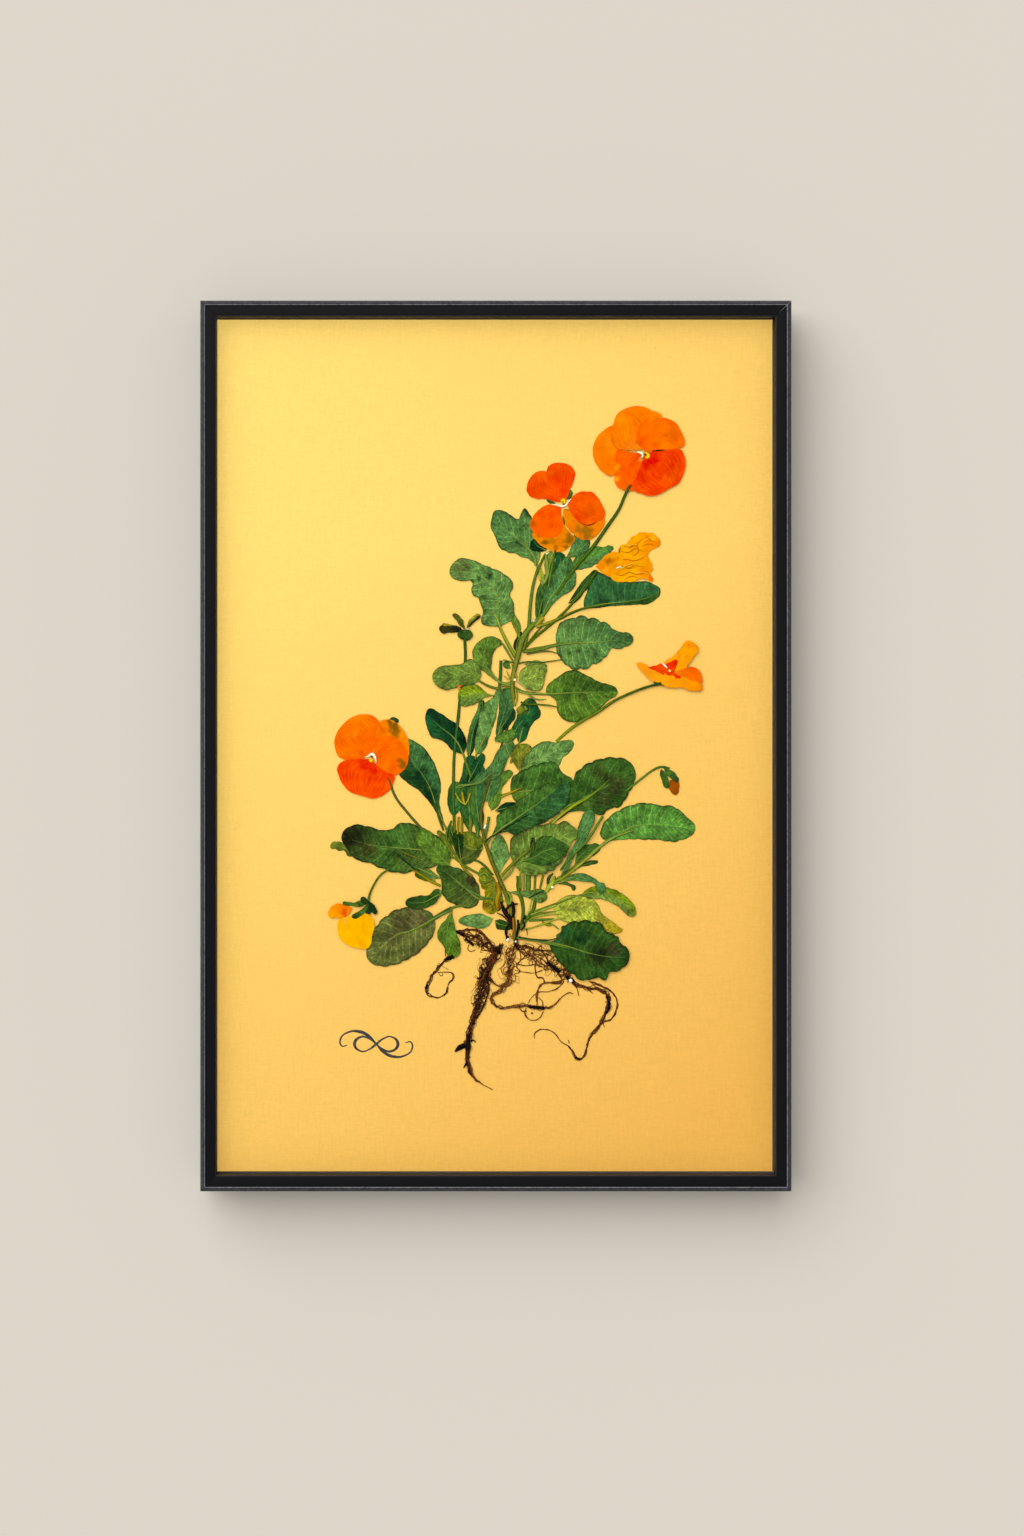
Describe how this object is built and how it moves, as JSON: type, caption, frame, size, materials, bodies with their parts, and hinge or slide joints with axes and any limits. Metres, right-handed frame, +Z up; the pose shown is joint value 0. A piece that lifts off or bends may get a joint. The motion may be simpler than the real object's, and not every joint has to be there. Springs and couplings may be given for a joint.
{
  "type": "pressed flower frame",
  "caption": "Slim black wall frame with a whole pressed pansy plant, its orange and yellow flowers, leaves and roots, behind a clear pane on a golden sheet.",
  "frame": {"origin": "the point on the backing board's sawtooth hanger that rests on the nail, in the middle of the frame's width", "axes": "+Z up the frame's long side, +X to the viewer's right, +Y from the picture's face back towards the wall"},
  "size_m": [0.296, 0.025, 0.446],
  "materials": {
    "moulding": "black satin lacquer on a slim wood moulding",
    "glass": "clear anti-reflective picture glass",
    "spacer": "black card strips",
    "golden_sheet": "golden paper with a fine laid tooth, on board",
    "backing": "brown hardboard",
    "steel": "zinc plated sheet steel",
    "leaf": "dried green leaf, matt with fine veins",
    "leaf_dark": "dried leaf turned dark green",
    "leaf_pale": "dried leaf turned yellow green",
    "petal_orange": "dried orange petal with a silky sheen",
    "petal_yellow": "dried yellow petal, creased",
    "bud": "dried bud and sepals",
    "stem": "dried green stalk",
    "root": "dried brown root"
  },
  "bodies": {
    "root": {"rail_top": "moulding", "rail_bottom": "moulding", "rail_left": "moulding", "rail_right": "moulding", "glazing": "glass", "spacer_top": "spacer", "spacer_bottom": "spacer", "spacer_left": "spacer", "spacer_right": "spacer", "mount_sheet": "golden_sheet", "backing_board": "backing", "point_1": "steel", "point_2": "steel", "point_3": "steel", "point_4": "steel", "hanger": "steel", "hanger_screw_left": "steel", "hanger_screw_right": "steel", "leaf_crown_left": "leaf", "leaf_folded": "leaf", "leaf_crown_right": "leaf", "leaf_long_right": "leaf", "leaf_scalloped_right": "leaf", "leaf_pointed_right": "leaf", "leaf_top_left": "leaf", "leaf_left_rounded": "leaf", "leaf_dark_left": "leaf_dark", "leaf_centre_long": "leaf", "leaf_centre_right": "leaf", "leaf_big_upper": "leaf", "leaf_big_lower": "leaf", "leaf_right_brown": "leaf", "leaf_right_large": "leaf", "leaf_scalloped_low": "leaf", "leaf_left_upright": "leaf", "leaf_left_large": "leaf", "leaf_left_low": "leaf", "leaf_left_front": "leaf", "leaf_dark_low": "leaf_dark", "leaf_yellow_green": "leaf_pale", "leaf_arc_right": "leaf", "flower_top": "petal_orange", "flower_red": "petal_orange", "flower_left": "petal_orange", "flower_wilted": "petal_yellow", "flower_side": "petal_yellow", "flower_hanging": "petal_yellow", "bud_right": "bud", "calyx_left": "bud", "stem_upper": "stem", "stem_lower": "stem", "stalk_top": "stem", "stalk_side": "stem", "stalk_left": "stem", "stalk_calyx": "stem", "root_tap": "root", "root_wing": "root", "root_left": "root", "root_middle": "root", "root_right": "root"}
  },
  "joints": []
}
